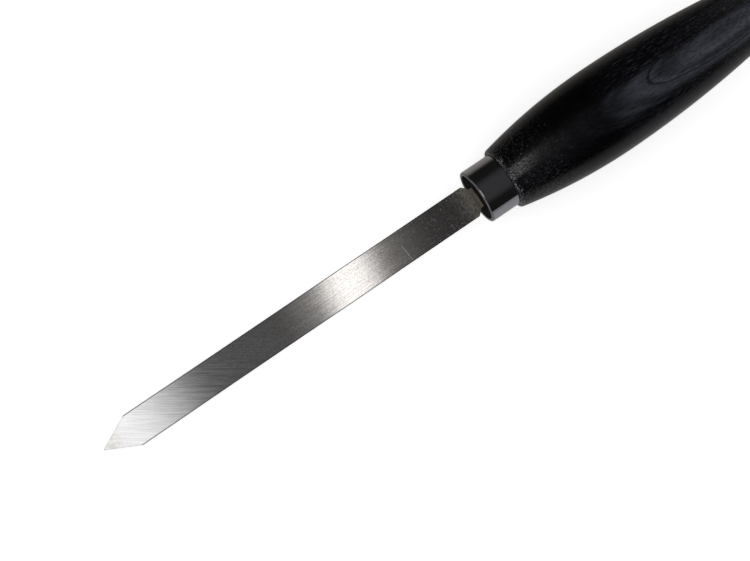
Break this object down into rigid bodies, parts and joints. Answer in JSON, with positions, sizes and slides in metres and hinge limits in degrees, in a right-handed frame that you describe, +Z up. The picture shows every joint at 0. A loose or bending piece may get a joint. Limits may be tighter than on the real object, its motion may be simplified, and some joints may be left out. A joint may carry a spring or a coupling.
{
  "type": "parting tool",
  "caption": "Woodturning parting tool with a flat ground steel blade, V point, bright tube ferrule and a black turned wooden handle.",
  "frame": {"origin": "on the surface that the tool lies on, under the middle of its length and width", "axes": "+X runs from the cutting edge towards the butt of the handle, +Z is up, and the blade lies on its wide flat with its cutting edge on the surface"},
  "size_m": [0.439, 0.0418, 0.0498],
  "materials": {
    "blade_steel": "ground along and across, with brown tarnish by the neck",
    "ferrule_plate": "polished",
    "handle_wood": "stained black under satin lacquer"
  },
  "bodies": {
    "root": {"blade": "blade_steel", "ferrule": "ferrule_plate", "handle": "handle_wood"}
  },
  "joints": []
}
